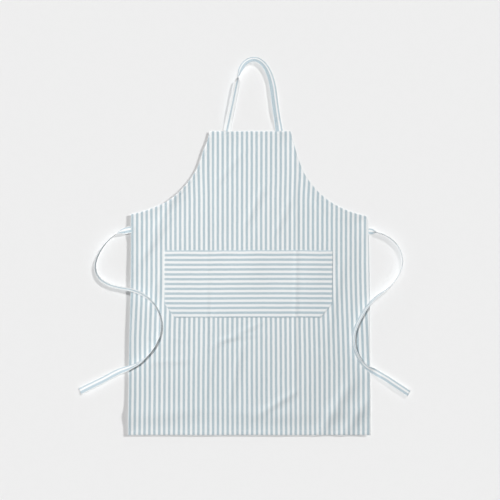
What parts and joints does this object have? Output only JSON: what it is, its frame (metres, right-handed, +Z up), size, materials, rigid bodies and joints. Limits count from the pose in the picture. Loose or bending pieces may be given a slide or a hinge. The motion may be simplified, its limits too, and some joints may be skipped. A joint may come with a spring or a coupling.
{
  "type": "bib apron",
  "caption": "Cotton bib apron in ticking stripe, lying flat: shaped panel, patch pocket with cross-wise stripes, neck loop and waist ties.",
  "frame": {"origin": "middle of the main panel's box, on the surface the apron lies on", "axes": "+Y from the bottom hem to the neck loop, +X to the right when looking at the apron's front, +Z up out of the front"},
  "size_m": [0.9618, 1.104, 0.0203],
  "materials": {
    "panel_cloth": "plain-woven cotton, pale blue-grey ticking stripe along the length, matt",
    "pocket_cloth": "the same striped cotton, stripes across the width, matt",
    "tape_cloth": "the same striped cotton folded to a narrow tape, stripes along the tape, matt",
    "sewing_thread": "white spun sewing thread, matt"
  },
  "bodies": {
    "skirt": {"skirt_panel": "panel_cloth", "pocket_panel": "pocket_cloth", "waist_tie_sewn_end_left": "tape_cloth", "waist_tie_sewn_end_right": "tape_cloth", "thread_side_hem_left": "sewing_thread", "thread_side_hem_right": "sewing_thread", "thread_bottom_hem": "sewing_thread", "thread_pocket_mouth_hem": "sewing_thread", "thread_pocket_edge": "sewing_thread", "thread_tie_root_left": "sewing_thread", "thread_tie_root_right": "sewing_thread"},
    "bib": {"bib_panel": "panel_cloth", "neck_strap_sewn_end_left": "tape_cloth", "neck_strap_sewn_end_right": "tape_cloth", "thread_bib_top_hem": "sewing_thread", "thread_armhole_hem_left": "sewing_thread", "thread_armhole_hem_right": "sewing_thread", "thread_strap_root_left": "sewing_thread", "thread_strap_root_right": "sewing_thread"},
    "neck_loop": {"neck_strap": "tape_cloth", "thread_neck_strap_edge": "sewing_thread"},
    "tie_left": {"waist_tie_left": "tape_cloth", "thread_waist_tie_edge_left": "sewing_thread"},
    "tie_right": {"waist_tie_right": "tape_cloth", "thread_waist_tie_edge_right": "sewing_thread"}
  },
  "joints": [
    {"name": "bib_fold", "type": "hinge", "parent": "skirt", "child": "bib", "pos_m": [0, 0.181, 0.0023], "axis": [1, 0, 0], "range_deg": [0, 120]},
    {"name": "neck_loop_fold", "type": "hinge", "parent": "bib", "child": "neck_loop", "pos_m": [0, 0.44265, 0.0023], "axis": [1, 0, 0], "range_deg": [0, 120]},
    {"name": "tie_left_swing", "type": "hinge", "parent": "skirt", "child": "tie_left", "pos_m": [-0.35539, 0.156, 0.001], "axis": [0, 0, -1], "range_deg": [0, 100]},
    {"name": "tie_right_swing", "type": "hinge", "parent": "skirt", "child": "tie_right", "pos_m": [0.35459, 0.151, 0.001], "axis": [0, 0, 1], "range_deg": [0, 100]}
  ]
}
